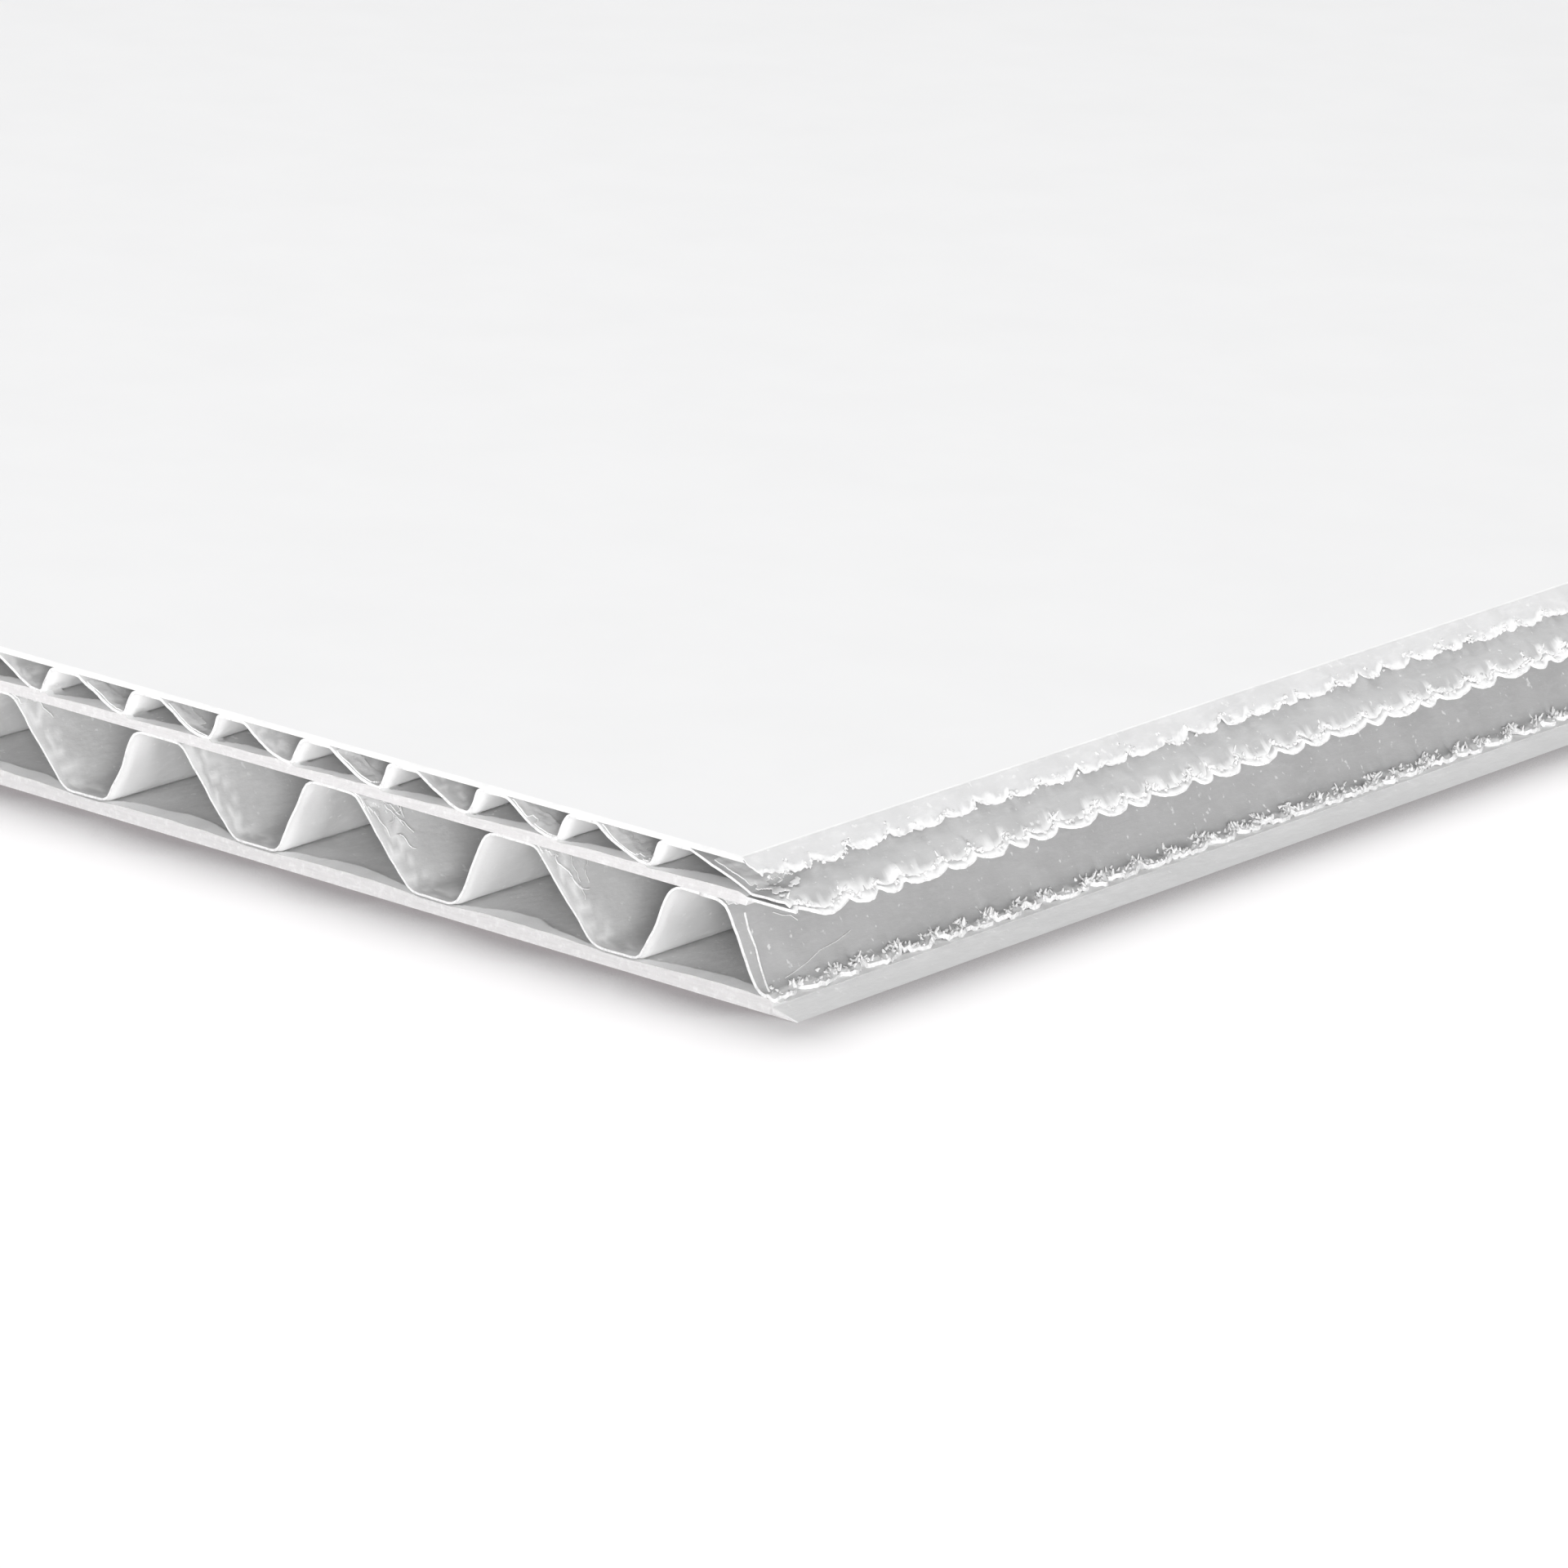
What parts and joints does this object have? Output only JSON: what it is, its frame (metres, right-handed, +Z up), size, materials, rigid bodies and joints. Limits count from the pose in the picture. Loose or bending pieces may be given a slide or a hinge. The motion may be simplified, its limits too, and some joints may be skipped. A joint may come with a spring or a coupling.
{
  "type": "mounting board",
  "caption": "Flat sheet of white double-wall corrugated board: fine waves over coarse waves between three smooth liners, one long edge cut at a slant.",
  "frame": {"origin": "middle of the sheet, on its underside", "axes": "+X across the waves towards the slanted edge, +Y along the waves away from the clean cut end, +Z up through the thickness to the smooth mounting face"},
  "size_m": [0.21, 0.297, 0.004],
  "materials": {
    "liner_white": "matte",
    "wave_white": "matte"
  },
  "bodies": {
    "root": {"bottom_liner": "liner_white", "lower_flute": "wave_white", "middle_liner": "liner_white", "upper_flute": "wave_white", "top_liner": "liner_white"}
  },
  "joints": []
}
